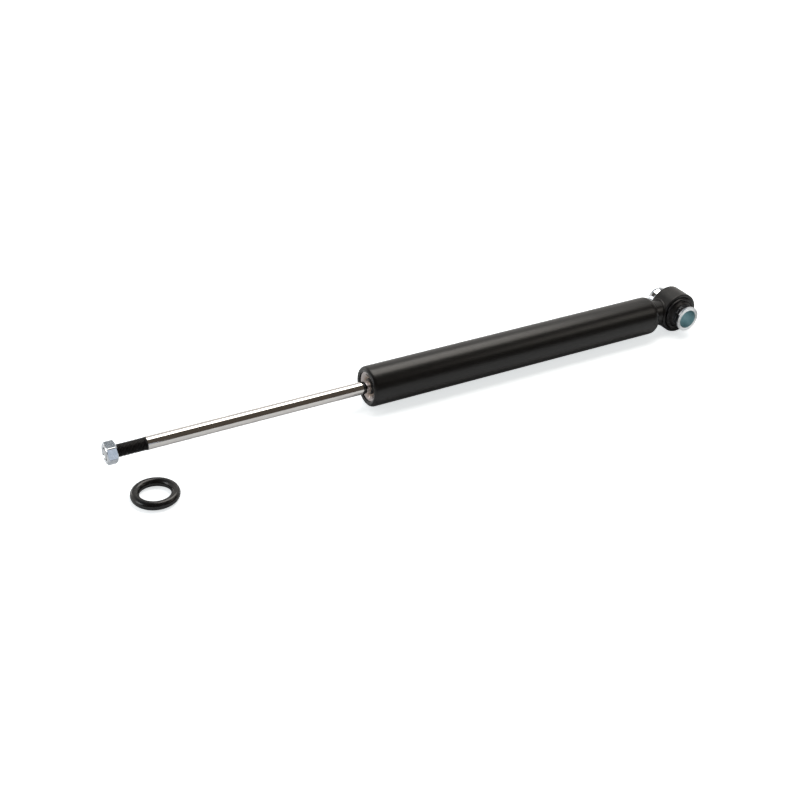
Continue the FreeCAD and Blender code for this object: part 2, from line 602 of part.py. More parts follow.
# Guide bush: lined bronze bush that carries the rod.
turned("guide_bush", {
    "bore_rear": (f"{GUIDE_REAR} + guide_bush_inset", ROD_LIP),
    "outside_rear": (f"{GUIDE_REAR} + guide_bush_inset", "guide_bush_dia / 2"),
    "outside_front": (f"{GUIDE_REAR} + guide_bush_inset + guide_bush_length", "guide_bush_dia / 2"),
    "bore_front": (f"{GUIDE_REAR} + guide_bush_inset + guide_bush_length", ROD_LIP),
})

# Pressure tube: honed inner cylinder between the foot valve and the rod guide.
turned("pressure_tube", {
    "rear_inside": (CYLINDER_REAR, CYLINDER),
    "rear_outside": (CYLINDER_REAR, CYLINDER_OUTSIDE),
    "front_outside": (GUIDE_SHOULDER, CYLINDER_OUTSIDE),
    "front_inside": (GUIDE_SHOULDER, CYLINDER),
})

# Foot valve body: flange under the pressure tube, spigot inside it and a slotted foot on the base cap.
valve, at = turned("base_valve_body", {
    "pin_hole_rear": (FOOT_FRONT, PIN_HOLE),
    "foot_inside": (FOOT_FRONT, "foot_dia / 2 - foot_wall"),
    "foot_rear_inside": (CAP_FLOOR, "foot_dia / 2 - foot_wall"),
    "foot_rear_outside": (CAP_FLOOR, "foot_dia / 2"),
    "foot_outside": (FOOT_FRONT, "foot_dia / 2"),
    "flange_rear": (FOOT_FRONT, CYLINDER_OUTSIDE),
    "flange_front": (CYLINDER_REAR, CYLINDER_OUTSIDE),
    "spigot_rear": (CYLINDER_REAR, f"{CYLINDER} - press_gap"),
    "spigot_front": (VALVE_FACE, f"{CYLINDER} - press_gap"),
    "pin_hole_front": (VALVE_FACE, PIN_HOLE),
})
ported(valve, "intake_ports", "intake_port_pcd", "intake_port_dia")
ported(valve, "compression_ports", "bleed_port_pcd", "bleed_port_dia")
slot = outline(valve, "slot_outline", [
    (CAP_FLOOR, "-foot_slot / 2"),
    (f"{CAP_FLOOR} + foot_slot_depth", "-foot_slot / 2"),
    (f"{CAP_FLOOR} + foot_slot_depth", "foot_slot / 2"),
    (CAP_FLOOR, "foot_slot / 2"),
])
repeated(valve, cut_through(valve, slot, "slot"), 2 * FOOT_SLOTS, "slots")

# Valve pin: rivet that holds the foot valve's discs and spring.
turned("base_valve_pin", {
    "tail_centre": (TAIL_REAR, "0"),
    "tail_side": (TAIL_REAR, "pin_tail_dia / 2"),
    "tail_face": (TAIL_FRONT, "pin_tail_dia / 2"),
    "shank_rear": (TAIL_FRONT, "pin_dia / 2"),
    "shank_front": (HEAD_REAR, "pin_dia / 2"),
    "head_face": (HEAD_REAR, "pin_head_dia / 2"),
    "head_side": (HEAD_FRONT, "pin_head_dia / 2"),
    "head_centre": (HEAD_FRONT, "0"),
})

# Compression discs: the largest lies on the valve body, the smaller ones back it.
disc_stack("compression_discs", TAIL_FRONT, "compression_disc_dia", PIN_HOLE, [2, 1, 0])

# Intake plate: one-way plate over the intake ports.
turned("intake_plate", {
    "rear_inside": (VALVE_FACE, "intake_bore / 2"),
    "rear_outside": (VALVE_FACE, "intake_dia / 2"),
    "front_outside": (INTAKE_FRONT, "intake_dia / 2"),
    "front_inside": (INTAKE_FRONT, "intake_bore / 2"),
})

# Intake spring: light wire spring between the pin's head and the intake plate.
coil("intake_spring", INTAKE_FRONT, "intake_spring_height", "intake_spring_dia", "intake_spring_wire")

# Piston rod: ground and chromed bar with a spigot for the piston, a groove and a threaded stud.
rod, at = turned("piston_rod", {
    "tail_centre": (SPIGOT_END, "0"),
    "tail": (SPIGOT_END, "spigot_dia / 2"),
    "spigot": (ROD_SHOULDER, "spigot_dia / 2"),
    "shoulder": (ROD_SHOULDER, ROD),
    "groove_rear": (RETAINER_REAR, ROD),
    "groove_rear_floor": (RETAINER_REAR, f"{ROD} - groove_depth"),
    "groove_front_floor": (BUMPER_REAR, f"{ROD} - groove_depth"),
    "groove_front": (BUMPER_REAR, ROD),
    "chrome_end": ("rod_reach", ROD),
    "stud_start": ("rod_reach", "stud_dia / 2"),
    "stud_end": (STUD_END, "stud_dia / 2"),
    "stud_centre": (STUD_END, "0"),
})
bevelled(rod, [at["stud_end"]], "stud_chamfer", "stud_lead")

# Rebound bumper and its retainer: the stop at full extension.
bumper, at = turned("rebound_bumper", {
    "rear_inside": (f"{BUMPER_REAR} + slide_gap", f"{ROD} + slide_gap"),
    "rear_outside": (f"{BUMPER_REAR} + slide_gap", "bumper_dia / 2"),
    "front_outside": (BUMPER_FRONT, "bumper_dia / 2"),
    "front_inside": (BUMPER_FRONT, f"{ROD} + slide_gap"),
})
rounded(bumper, [at["rear_outside"], at["front_outside"]], "bumper_round", "bumper_edges")
turned("rebound_retainer", {
    "rear_inside": (f"{RETAINER_REAR} + press_gap", f"{ROD} - groove_depth + press_gap"),
    "rear_outside": (f"{RETAINER_REAR} + press_gap", "retainer_dia / 2"),
    "front_outside": (f"{BUMPER_REAR} - press_gap", "retainer_dia / 2"),
    "front_inside": (f"{BUMPER_REAR} - press_gap", f"{ROD} - groove_depth + press_gap"),
})

# Stop washer: seated on the rod's shoulder, backs the check spring.
turned("stop_washer", {
    "rear_inside": (WASHER_REAR, SPIGOT_HOLE),
    "rear_outside": (WASHER_REAR, "washer_dia / 2"),
    "front_outside": (ROD_SHOULDER, "washer_dia / 2"),
    "front_inside": (ROD_SHOULDER, SPIGOT_HOLE),
})

# Check spring and check plate: one-way valve on the piston's front face.
coil("check_spring", CHECK_FRONT, "check_spring_height", "check_spring_dia", "check_spring_wire")
turned("check_plate", {
    "rear_inside": (PISTON_FRONT, "check_bore / 2"),
    "rear_outside": (PISTON_FRONT, "check_dia / 2"),
    "front_outside": (CHECK_FRONT, "check_dia / 2"),
    "front_inside": (CHECK_FRONT, "check_bore / 2"),
})

# Piston: sintered iron with two rings of ports and a groove for its band.
PISTON_OUTSIDE = f"{CYLINDER} - piston_clearance"
BAND_OUTSIDE = f"{CYLINDER} - band_clearance"
BAND_INSIDE = f"{BAND_OUTSIDE} - band_thick"
BAND_SEAT = f"{BAND_INSIDE} - slide_gap"
piston, at = turned("piston", {
    "bore_rear": (PISTON_REAR, SPIGOT_HOLE),
    "rear": (PISTON_REAR, PISTON_OUTSIDE),
    "groove_rear": (BAND_REAR, PISTON_OUTSIDE),
    "groove_rear_floor": (BAND_REAR, BAND_SEAT),
    "groove_front_floor": (BAND_FRONT, BAND_SEAT),
    "groove_front": (BAND_FRONT, PISTON_OUTSIDE),
    "front": (PISTON_FRONT, PISTON_OUTSIDE),
    "bore_front": (PISTON_FRONT, SPIGOT_HOLE),
})
ported(piston, "outer_ports", "outer_port_pcd", "outer_port_dia")
ported(piston, "inner_ports", "inner_port_pcd", "inner_port_dia")

# Piston band: low-friction band that runs in the pressure tube.
turned("piston_band", {
    "rear_inside": (f"{BAND_REAR} + slide_gap", BAND_INSIDE),
    "rear_outside": (f"{BAND_REAR} + slide_gap", BAND_OUTSIDE),
    "front_outside": (f"{BAND_FRONT} - slide_gap", BAND_OUTSIDE),
    "front_inside": (f"{BAND_FRONT} - slide_gap", BAND_INSIDE),
})

# Rebound discs, their washer and the nut that clamps the piston on the rod's spigot.
disc_stack("rebound_discs", DISCS_REAR, "rebound_disc_dia", SPIGOT_HOLE, [2, 1, 0])
turned("disc_washer", {
    "rear_inside": (DISC_WASHER_REAR, SPIGOT_HOLE),
    "rear_outside": (DISC_WASHER_REAR, "disc_washer_dia / 2"),
    "front_outside": (DISCS_REAR, "disc_washer_dia / 2"),
    "front_inside": (DISCS_REAR, SPIGOT_HOLE),
})
hexagon_nut("piston_nut", PISTON_NUT_REAR, "piston_nut_height", "piston_nut_flats", SPIGOT_HOLE)

# Stud nut: hexagon nut run onto the end of the stud.
stud_nut = hexagon_nut("stud_nut", NUT_REAR, "nut_height", "nut_flats", "stud_dia / 2 + nut_clearance")
stud_nut.Placement = FreeCAD.Placement(FreeCAD.Vector(), FreeCAD.Rotation(FreeCAD.Vector(1, 0, 0), 0))
stud_nut.setExpression("Placement.Rotation.Angle", bound("nut_turn"))

# Loose rubber ring: lies flat on the surface that the eye ring rests on.
loose_ring = doc.addObject("Part::Torus", "rubber_ring")
loose_ring.Label = "rubber_ring"
loose_ring.setExpression("Radius1", bound("(loose_ring_dia - loose_ring_section) / 2"))
loose_ring.setExpression("Radius2", bound("loose_ring_section / 2"))
loose_ring.setExpression("Placement.Base.x", bound("loose_ring_x"))
loose_ring.setExpression("Placement.Base.y", bound("loose_ring_y"))
loose_ring.setExpression("Placement.Base.z", bound(f"loose_ring_section / 2 - {EYE_OUTSIDE}"))
bodies.append(loose_ring)

doc.recompute()
for item in doc.Objects:
    if "Invalid" in item.State or "Error" in item.State:
        raise RuntimeError(f"{item.Label} failed: {item.State}")
for body in bodies:
    if body.Shape.isNull() or not body.Shape.isValid():
        raise RuntimeError(f"{body.Label} has no valid shape")

os.makedirs("parts", exist_ok=True)
for body in bodies:
    body.Shape.exportStep(f"parts/{body.Label}.step")
    box = body.Shape.BoundBox
    print(f"{body.Label}: {len(body.Shape.Solids)} solid, {body.Shape.Volume:.1f} mm3, "
          f"x {box.XMin:.2f} to {box.XMax:.2f}, z {box.ZMin:.2f} to {box.ZMax:.2f}")
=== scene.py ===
import math

import bmesh
import bpy
from mathutils import Matrix, Vector, noise


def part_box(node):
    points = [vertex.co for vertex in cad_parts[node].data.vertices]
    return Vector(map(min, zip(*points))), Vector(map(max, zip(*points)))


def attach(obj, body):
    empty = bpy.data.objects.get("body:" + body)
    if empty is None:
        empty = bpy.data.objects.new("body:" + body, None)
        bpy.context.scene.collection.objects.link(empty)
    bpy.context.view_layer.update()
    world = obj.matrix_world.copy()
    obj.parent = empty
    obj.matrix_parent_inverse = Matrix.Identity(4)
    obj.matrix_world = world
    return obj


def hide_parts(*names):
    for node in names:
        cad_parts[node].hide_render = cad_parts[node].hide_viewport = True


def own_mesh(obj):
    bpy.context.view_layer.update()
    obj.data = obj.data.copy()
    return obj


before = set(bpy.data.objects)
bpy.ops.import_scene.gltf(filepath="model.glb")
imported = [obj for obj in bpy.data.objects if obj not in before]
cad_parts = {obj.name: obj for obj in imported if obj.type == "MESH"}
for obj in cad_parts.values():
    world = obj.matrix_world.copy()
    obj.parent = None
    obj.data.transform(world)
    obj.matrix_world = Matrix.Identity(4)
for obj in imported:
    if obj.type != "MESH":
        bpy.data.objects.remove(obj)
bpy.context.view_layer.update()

# Shock absorber lying on a white table with its rod drawn out. Metres throughout. X runs along the
# shock absorber from the eye to the stud, the eye's bore runs along Y, and Z is up.


# Reserve tube: drawn steel tube, painted satin black. Its front end is rolled inwards over the closing
# plate, so the rim is a smooth rounded lip with a thin edge on the inside.

ALONG_SHOCK = Vector((1, 0, 0))
UP = Vector((0, 0, 1))
MERGE_DISTANCE = 1e-7

tube_low, tube_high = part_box("reserve_tube")
tube_radius = tube_high.z
tube_wall = 0.0015
tube_bore = tube_radius - tube_wall
rim_opening = 0.0148
rim_crest = 0.0172
rim_round = 0.0040
rim_slope = 0.0008
crest_rounding = 0.0006
thin_edge = 0.0004
TURNING_STEPS = 192
ROUNDING_STEPS = 8
SHARP_ANGLE = math.radians(32)


def spun(shell, axis, steps):
    """Spin a shell's outline a full turn round an axis, and close and orient what comes out."""
    bmesh.ops.spin(shell, geom=shell.verts[:] + shell.edges[:], cent=(0, 0, 0), axis=axis,
                   dvec=(0, 0, 0), angle=math.tau, steps=steps, use_merge=True)
    bmesh.ops.remove_doubles(shell, verts=shell.verts, dist=MERGE_DISTANCE)
    bmesh.ops.recalc_face_normals(shell, faces=shell.faces)
    return shell


def turned(corners, axis=ALONG_SHOCK, steps=TURNING_STEPS):
    """Turn an outline of corners, each its place along the axis, its radius and its rounding."""
    shell = bmesh.new()
    points = [shell.verts.new(axis * along + UP * radius) for along, radius, rounding in corners]
    follows = points[1:] + points[:1] if corners[0][1] > 0 else points[1:]
    for start, end in zip(points, follows):
        shell.edges.new((start, end))
    for point, (along, radius, rounding) in zip(points, corners):
        if rounding:
            bmesh.ops.bevel(shell, geom=[point], offset=rounding, offset_type="OFFSET",
                            segments=ROUNDING_STEPS, profile=0.5, affect="VERTICES", material=-1)
    return spun(shell, axis, steps)


def made(name, shell, *materials):
    """Make an object of a finished shell, smooth except at its sharp edges."""
    mesh = bpy.data.meshes.new(name)
    shell.to_mesh(mesh)
    shell.free()
    for material in materials:
        mesh.materials.append(material)
    mesh.polygons.foreach_set("use_smooth", [True] * len(mesh.polygons))
    mesh.set_sharp_from_angle(angle=SHARP_ANGLE)
    piece = bpy.data.objects.new(name, mesh)
    bpy.context.collection.objects.link(piece)
    weighted = piece.modifiers.new("even_shading", "WEIGHTED_NORMAL")
    weighted.keep_sharp = True
    return piece


class Finish:
    """A procedural material: its node tree, with the nodes that the finishes here share."""

    def __init__(self, name, **surface):
        self.material = bpy.data.materials.new(name)
        self.material.use_nodes = True
        self.nodes = self.material.node_tree.nodes
        self.links = self.material.node_tree.links
        self.shader = self.nodes["Principled BSDF"]
        for socket, value in surface.items():
            self.shader.inputs[socket.replace("_", " ")].default_value = value
        self.place = self.nodes.new("ShaderNodeTexCoord").outputs["Object"]

    def stretched(self, *scale):
        """Object coordinates, stretched along the axes."""
        mapping = self.nodes.new("ShaderNodeMapping")
        mapping.inputs["Scale"].default_value = scale
        self.links.new(self.place, mapping.inputs["Vector"])
        return mapping.outputs["Vector"]

    def cloud(self, scale, detail=3.0, place=None):
        """Noise with about this many spots to the metre."""
        texture = self.nodes.new("ShaderNodeTexNoise")
        texture.inputs["Scale"].default_value = scale
        texture.inputs["Detail"].default_value = detail
        self.links.new(place or self.place, texture.inputs["Vector"])
        return texture.outputs["Fac"]

    def ramp(self, factor, *stops):
        """Blend colours over a factor; each stop is a position and a colour."""
        ramp = self.nodes.new("ShaderNodeValToRGB")
        elements = ramp.color_ramp.elements
        while len(elements) < len(stops):
            elements.new(0.5)
        for element, (position, colour) in zip(elements, stops):
            element.position = position
            element.color = (*colour, 1)
        self.links.new(factor, ramp.inputs["Fac"])
        return ramp.outputs["Color"]

    def spread(self, factor, low, high):
        """Spread a factor's middle range over low to high."""
        spread = self.nodes.new("ShaderNodeMapRange")
        spread.inputs["From Min"].default_value = 0.3
        spread.inputs["From Max"].default_value = 0.7
        spread.inputs["To Min"].default_value = low
        spread.inputs["To Max"].default_value = high
        self.links.new(factor, spread.inputs["Value"])
        return spread.outputs["Result"]

    def coloured(self, factor, *stops):
        """Colour the surface with a ramp over a factor."""
        self.links.new(self.ramp(factor, *stops), self.shader.inputs["Base Color"])

    def roughened(self, factor, low, high):
        """Let the roughness vary from low to high over a factor."""
        self.links.new(self.spread(factor, low, high), self.shader.inputs["Roughness"])

    def bumped(self, height, depth, strength=1.0):
        """Raise the surface by a height pattern; more calls add up."""
        bump = self.nodes.new("ShaderNodeBump")
        bump.inputs["Distance"].default_value = depth
        bump.inputs["Strength"].default_value = strength
        self.links.new(height, bump.inputs["Height"])
        before = self.shader.inputs["Normal"].links
        if before:
            self.links.new(before[0].from_socket, bump.inputs["Normal"])
        self.links.new(bump.outputs["Normal"], self.shader.inputs["Normal"])


paint = Finish("satin_black_paint", Specular_IOR_Level=0.43)
paint.coloured(paint.cloud(90), (0.3, (0.0040, 0.0040, 0.0044)), (0.7, (0.0062, 0.0060, 0.0060)))
paint.roughened(paint.cloud(260), 0.28, 0.34)
paint.bumped(paint.cloud(1400, detail=2), 0.00004, 0.35)

tube = made("reserve_tube_painted", turned([
    (tube_low.x, tube_bore, 0),
    (tube_low.x, tube_radius, thin_edge / 2),
    (tube_high.x, tube_radius, rim_round),
    (tube_high.x, rim_crest, crest_rounding),
    (tube_high.x - rim_slope, rim_opening, thin_edge / 2),
    (tube_high.x - tube_wall, rim_opening, thin_edge / 2),
    (tube_high.x - tube_wall, tube_bore, rim_round - tube_wall),
]), paint.material)
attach(tube, "shock_body")
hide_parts("reserve_tube")


# Base cap: pressed steel end, welded into the tube and painted with it. Its rounded shoulder runs down
# to a neck, which is cut to the eye ring's curve.

_, cap_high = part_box("base_cap")
ring_low, ring_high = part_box("eye_ring")
eye_radius = ring_high.z
cap_rear = 0.0315
shoulder_round = 0.0064
neck_radius = 0.01325
neck_fillet = 0.0018
cap_floor = 0.0360
skirt_inside = 0.0165
into_ring = 0.0006
press_gap = 0.00002

cap_shell = turned([
    (0, 0, 0),
    (0, neck_radius, 0),
    (cap_rear, neck_radius, neck_fillet),
    (cap_rear, tube_radius, shoulder_round),
    (tube_low.x, tube_radius, thin_edge / 2),
    (tube_low.x, tube_bore - press_gap, 0),
    (cap_high.x, tube_bore - press_gap, 0),
    (cap_high.x, skirt_inside, 0),
    (cap_floor, skirt_inside, 0),
    (cap_floor, 0, 0),
])
for point in cap_shell.verts:
    if point.co.x < eye_radius - into_ring:
        point.co.x = math.sqrt((eye_radius - into_ring) ** 2 - point.co.z ** 2)
cap = made("base_cap_and_neck", cap_shell, paint.material)
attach(cap, "shock_body")
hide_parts("base_cap")


# Weld bead: one pass of weld round the neck where it meets the eye ring, painted over with the rest.
# Its overlapping ripples are the cooled pools of the arc.

bead_radius = 0.0014
bead_ripples = 72
bead_ripple_depth = 0.00004
ripple_slant = 1.2
bead_lumps = 0.00018
lumps_to_the_metre = 260
bead_sides = 20
bead_steps = 384


def hoop(section_radius, middle, axis, sides, steps):
    """Sweep a round section a full turn round an axis; middle is where the section starts."""
    shell = bmesh.new()
    bmesh.ops.create_circle(
        shell, segments=sides, radius=section_radius,
        matrix=Matrix.Translation(middle) @ Matrix.Rotation(math.radians(90), 4, "X"))
    return spun(shell, axis, steps)


bead_shell = hoop(bead_radius, UP * neck_radius, ALONG_SHOCK, bead_sides, bead_steps)
for point in bead_shell.verts:
    turn = math.atan2(point.co.z, point.co.y)
    centre = Vector((0, neck_radius * math.cos(turn), neck_radius * math.sin(turn)))
    phase = turn * bead_ripples - point.co.x / bead_radius * ripple_slant
    lump = bead_lumps * noise.noise(point.co * lumps_to_the_metre)
    swell = bead_ripple_depth * math.sin(phase) + lump
    point.co += (point.co - centre).normalized() * swell
    point.co.x += math.sqrt(eye_radius ** 2 - centre.z ** 2)
bead = made("neck_weld_bead", bead_shell, paint.material)
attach(bead, "shock_body")


# Eye ring: a slice of thick steel tube, its outer edges broken, welded to the neck and painted with it.
# The rubber bush is moulded into it.

ALONG_BORE = Vector((0, 1, 0))
ring_half_width = ring_high.y
ring_bore = 0.0185
ring_edge = 0.0010

ring = made("eye_ring_painted", turned([
    (-ring_half_width, ring_bore, thin_edge),
    (-ring_half_width, eye_radius, ring_edge),
    (ring_half_width, eye_radius, ring_edge),
    (ring_half_width, ring_bore, thin_edge),
], ALONG_BORE), paint.material)
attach(ring, "shock_body")
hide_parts("eye_ring")


# Rubber bush: black rubber moulded between the ring and the sleeve. Each face has a raised lip near the
# ring, a valley and a cone up to the sleeve, dull from the mould.

_, bush_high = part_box("rubber_bush")
hub_hole = 0.01205
hub_edge = 0.01285
valley_radius = 0.0151
lip_radius = 0.0174
valley_rise = 0.0007
lip_rise = 0.0021
edge_inset = 0.0004
hub_inner_rounding = 0.0002
hub_outer_rounding = 0.0004
valley_rounding = 0.0012
lip_rounding = 0.0006
bush_radius = bush_high.z

rubber = Finish("moulded_black_rubber", Specular_IOR_Level=0.42)
rubber.coloured(rubber.cloud(180), (0.3, (0.0050, 0.0050, 0.0054)), (0.7, (0.0090, 0.0086, 0.0086)))
rubber.roughened(rubber.cloud(420), 0.27, 0.36)
rubber.bumped(rubber.cloud(2600, detail=4), 0.00005, 0.5)

bush_face = [
    (bush_high.y, hub_hole, hub_inner_rounding),
    (bush_high.y, hub_edge, hub_outer_rounding),
    (ring_half_width + valley_rise, valley_radius, valley_rounding),
    (ring_half_width + lip_rise, lip_radius, lip_rounding),
    (ring_half_width - edge_inset, bush_radius, 0),
]
bush = made("rubber_bush_moulded", turned(
    bush_face + [(-along, radius, rounding) for along, radius, rounding in reversed(bush_face)],
    ALONG_BORE), rubber.material)
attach(bush, "shock_body")
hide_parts("rubber_bush")


# Inner sleeve: zinc-plated steel tube whose ends are upset to a wider band. The end faces are serrated,
# so that they bite into the bracket when the bolt is tightened.

_, sleeve_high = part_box("inner_sleeve")
sleeve_end = sleeve_high.y
sleeve_end_radius = sleeve_high.z
sleeve_bore = 0.0100
sleeve_radius = 0.0120
sleeve_band = 0.0030
sleeve_flare = 0.0035
end_rounding = 0.0005
band_rounding = 0.0008
flare_rounding = 0.0010
serrations = 28
steps_a_serration = 10
serration_depth = 0.00045
serrated_depth = 0.0006
end_highlight_depth = 0.0003
bore_zinc_depth = 0.0001
bore_lead = 0.0004

zinc = Finish("zinc_plated_steel", Metallic=1.0)
zinc.coloured(zinc.cloud(300), (0.3, (0.62, 0.66, 0.71)), (0.7, (0.76, 0.79, 0.83)))
zinc.roughened(zinc.cloud(500), 0.08, 0.14)
zinc.bumped(zinc.cloud(900), 0.00001, 0.3)

# The bore's zinc: the zinc's own passivation tint, made greener and stronger as a painted reflection of
# light bounced round inside the bore.
bore_zinc = Finish("passivated_bore_bounce_tint", Metallic=1.0)
bore_zinc.coloured(bore_zinc.cloud(260), (0.3, (0.56, 0.74, 0.78)), (0.7, (0.68, 0.83, 0.86)))
bore_zinc.roughened(bore_zinc.cloud(400), 0.40, 0.55)
bore_zinc.bumped(bore_zinc.cloud(700, place=bore_zinc.stretched(1, 6, 1)), 0.00002, 0.4)

# A lighter, whiter copy of the zinc for the sleeve's end faces: a painted highlight, as if more light
# fell on them.
end_zinc_highlight = Finish("end_zinc_painted_highlight", Metallic=1.0)
end_zinc_highlight.coloured(end_zinc_highlight.cloud(300), (0.3, (0.84, 0.88, 0.90)), (0.7, (0.93, 0.95, 0.96)))
end_zinc_highlight.roughened(end_zinc_highlight.cloud(500), 0.28, 0.38)

sleeve_shell = turned([
    (-sleeve_end, sleeve_bore, bore_lead),
    (-sleeve_end, sleeve_end_radius, end_rounding),
    (-sleeve_end + sleeve_band, sleeve_end_radius, band_rounding),
    (-sleeve_end + sleeve_band + sleeve_flare, sleeve_radius, flare_rounding),
    (sleeve_end - sleeve_band - sleeve_flare, sleeve_radius, flare_rounding),
    (sleeve_end - sleeve_band, sleeve_end_radius, band_rounding),
    (sleeve_end, sleeve_end_radius, end_rounding),
    (sleeve_end, sleeve_bore, bore_lead),
], ALONG_BORE, steps=serrations * steps_a_serration)
# Faces in the bore take the bore's tinted zinc, with its painted bounce light; faces on the ends take
# the lighter zinc, a painted highlight.
for face in sleeve_shell.faces:
    middle = face.calc_center_median()
    inside = math.hypot(middle.x, middle.z) < sleeve_bore + bore_zinc_depth
    on_end = abs(middle.y) > sleeve_end - end_highlight_depth
    face.material_index = 1 if inside else 2 if on_end else 0
for point in sleeve_shell.verts:
    if abs(point.co.y) > sleeve_end - serrated_depth:
        turn = math.atan2(point.co.z, point.co.x) / math.tau * serrations
        tooth = abs(turn % 1 - 0.5) * 2
        into_face = 1 - (sleeve_end - abs(point.co.y)) / serrated_depth
        point.co.y -= math.copysign(serration_depth * tooth * into_face, point.co.y)
sleeve = made("inner_sleeve_serrated", sleeve_shell, zinc.material, bore_zinc.material,
              end_zinc_highlight.material)
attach(sleeve, "sleeve")
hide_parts("inner_sleeve")


# Closing plate: dished steel washer, bare and slightly warm in colour, with painted shade that darkens
# and browns it towards its hub, down in the dish. The rolled rim holds it down on the rod seal.

_, plate_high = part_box("closing_plate")
plate_thick = 0.0015
plate_sink = 0.0026
plate_edge = plate_high.z
plate_edge_land = 0.0008
plate_border_outside = 0.0155
plate_border_inside = 0.0134
plate_hub = 0.0090
plate_bore = 0.0080
pressed_rounding = 0.0010
border_rounding = 0.0008
back_rounding = 0.0006
sheared_edge = 0.0003
hub_shade_scale = 1 / 0.0150

plate_steel = Finish("pressed_plate_steel", Metallic=1.0)
from_axis = plate_steel.nodes.new("ShaderNodeVectorMath")
from_axis.operation = "LENGTH"
plate_steel.links.new(plate_steel.stretched(0, hub_shade_scale, hub_shade_scale), from_axis.inputs[0])
# Painted shade: the colour goes from light grey at the rim to dark brown at the hub, where the dish lies
# in shade.
plate_steel.coloured(from_axis.outputs["Value"], (0.60, (0.17, 0.125, 0.095)),
                     (0.68, (0.28, 0.235, 0.21)), (0.78, (0.36, 0.32, 0.31)), (1.0, (0.42, 0.39, 0.385)))
plate_steel.roughened(plate_steel.cloud(600), 0.12, 0.22)
plate_steel.bumped(plate_steel.cloud(1200), 0.00001, 0.3)

plate = made("closing_plate_dished", turned([
    (plate_high.x - plate_thick, plate_edge, sheared_edge),
    (plate_high.x - plate_edge_land, plate_edge, sheared_edge),
    (plate_high.x, plate_border_outside, border_rounding),
    (plate_high.x, plate_border_inside, pressed_rounding),
    (plate_high.x - plate_sink, plate_hub, pressed_rounding),
    (plate_high.x - plate_sink, plate_bore, sheared_edge),
    (plate_high.x - plate_sink - plate_thick, plate_bore, sheared_edge),
    (plate_high.x - plate_sink - plate_thick, plate_hub, back_rounding),
    (plate_high.x - plate_thick, plate_border_inside, back_rounding),
]), plate_steel.material)
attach(plate, "shock_body")
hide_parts("closing_plate")


# Wiper ring: black rubber ring held in the closing plate's bore. Its lip leans on the rod and keeps
# dust out.

wiper_low, wiper_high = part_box("wiper_ring")
rod_low, rod_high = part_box("piston_rod")
rod_radius = rod_high.z
lip_clearance = 0.00003
lip_thick = 0.0007
lip_top_rounding = 0.0002
lip_edge_rounding = 0.00005
shoulder_edge = 0.0003
wiper_shoulder = plate_high.x - plate_sink

wiper = made("wiper_ring_rubber", turned([
    (wiper_low.x, plate_bore - press_gap, 0),
    (wiper_shoulder, plate_bore - press_gap, shoulder_edge),
    (wiper_high.x, rod_radius + lip_clearance + lip_thick, lip_top_rounding),
    (wiper_high.x, rod_radius + lip_clearance, lip_edge_rounding),
    (wiper_low.x, rod_radius + lip_clearance + lip_thick, 0),
]), rubber.material)
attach(wiper, "shock_body")
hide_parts("wiper_ring")


# Piston rod: steel bar, ground and hard-chromed to a mirror. The spigot for the piston is at its inner
# end, and the last millimetre before the stud is blackened with it.

spigot_radius = 0.0050
rod_shoulder = 0.3018
groove_rear = 0.3168
groove_front = 0.3204
groove_radius = 0.0056
rod_end = 0.5925
blackened_from = 0.5912
spigot_chamfer = 0.0006
shoulder_chamfer = 0.0004
rod_end_chamfer = 0.0003
stud_core = 0.0051
stud_core_length = 0.002

chrome = Finish("ground_hard_chrome", Metallic=1.0)
chrome.coloured(chrome.cloud(60), (0.3, (0.71, 0.685, 0.67)), (0.7, (0.77, 0.75, 0.735)))
chrome.roughened(chrome.cloud(200, place=chrome.stretched(1, 8, 8)), 0.05, 0.09)
chrome.bumped(chrome.cloud(2500, place=chrome.stretched(1, 0.05, 0.05)), 0.00001, 0.15)

black_oxide = Finish("phosphated_black_steel", Metallic=0.35, Specular_IOR_Level=0.4)
black_oxide.coloured(black_oxide.cloud(500), (0.3, (0.016, 0.016, 0.018)), (0.7, (0.036, 0.033, 0.033)))
black_oxide.roughened(black_oxide.cloud(800), 0.42, 0.58)
black_oxide.bumped(black_oxide.cloud(3000), 0.00003, 0.4)

rod_shell = turned([
    (rod_low.x, 0, 0),
    (rod_low.x, spigot_radius, spigot_chamfer),
    (rod_shoulder, spigot_radius, 0),
    (rod_shoulder, rod_radius, shoulder_chamfer),
    (groove_rear, rod_radius, 0),
    (groove_rear, groove_radius, 0),
    (groove_front, groove_radius, 0),
    (groove_front, rod_radius, 0),
    (blackened_from, rod_radius, 0),
    (rod_end, rod_radius, rod_end_chamfer),
    (rod_end, stud_core, 0),
    (rod_end + stud_core_length, stud_core, 0),
    (rod_end + stud_core_length, 0, 0),
])
for face in rod_shell.faces:
    face.material_index = 1 if face.calc_center_median().x > blackened_from else 0
rod = made("piston_rod_chromed", rod_shell, chrome.material, black_oxide.material)
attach(rod, "rod")
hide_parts("piston_rod")


# Stud: the rod's outer end, threaded M12 by 1.25 by rolling and blackened. Its end face is faced off
# bright, with a lead-in chamfer for the nut.

stud_radius = 0.0060
stud_end = rod_high.x
pitch = 0.00125
thread_depth = 0.61 * pitch
stud_lead = 0.0012
steps_a_turn = 60
thread_turns = math.ceil((stud_end - rod_end) / pitch) + 2
thread_merge_distance = 1e-6

bright_steel = Finish("faced_bright_steel", Metallic=1.0)
bright_steel.coloured(bright_steel.cloud(400), (0.3, (0.60, 0.62, 0.64)), (0.7, (0.76, 0.78, 0.79)))
bright_steel.roughened(bright_steel.cloud(700), 0.24, 0.36)
bright_steel.bumped(bright_steel.cloud(1500), 0.00003, 0.4)


